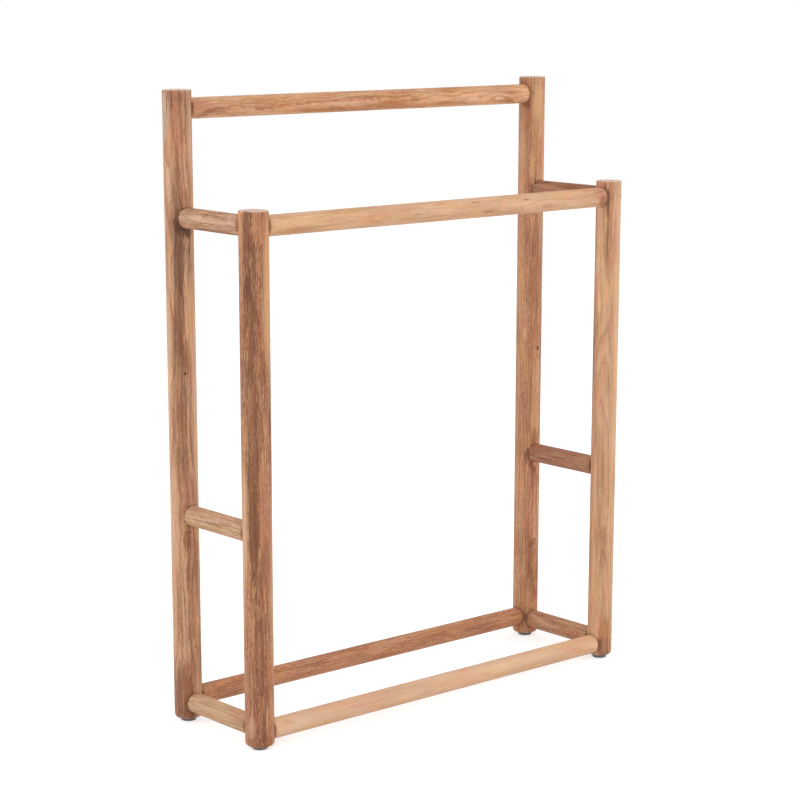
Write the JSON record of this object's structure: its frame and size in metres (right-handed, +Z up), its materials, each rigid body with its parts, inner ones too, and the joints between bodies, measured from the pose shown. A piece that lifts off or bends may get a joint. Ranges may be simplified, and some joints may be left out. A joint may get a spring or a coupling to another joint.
{
  "type": "freestanding towel stand",
  "caption": "Freestanding towel stand of round sanded wood poles: a tall back frame and a lower front frame, each with a towel rail, tied by short side rungs and standing on small glides.",
  "frame": {"origin": "on the floor, at the middle of the stand's outline, midway between the axes of the four posts", "axes": "+Z up, X along the towel rails, +Y from the lower front frame towards the taller back frame"},
  "size_m": [0.718, 0.2099, 0.9],
  "materials": {
    "teak_brown": "sanded, matt, unsealed",
    "teak_dark": "sanded, matt, unsealed",
    "teak_honey": "sanded, matt, unsealed",
    "teak_pale": "sanded, matt, unsealed",
    "teak_red": "sanded, matt, unsealed",
    "glide_plastic": "moulded, fine matt",
    "nail_steel": "bright drawn"
  },
  "bodies": {
    "root": {"post_back_left": "teak_brown", "post_back_right": "teak_brown", "post_front_left": "teak_dark", "post_front_right": "teak_honey", "rail_top_back": "teak_honey", "rail_top_front": "teak_pale", "rail_bottom_back": "teak_red", "rail_bottom_front": "teak_pale", "rung_upper_left": "teak_brown", "rung_upper_right": "teak_dark", "rung_middle_left": "teak_honey", "rung_middle_right": "teak_red", "rung_bottom_left": "teak_honey", "rung_bottom_right": "teak_red", "foot_glide_back_left": "glide_plastic", "foot_glide_back_right": "glide_plastic", "foot_glide_front_left": "glide_plastic", "foot_glide_front_right": "glide_plastic", "glide_nails": "nail_steel"}
  },
  "joints": []
}
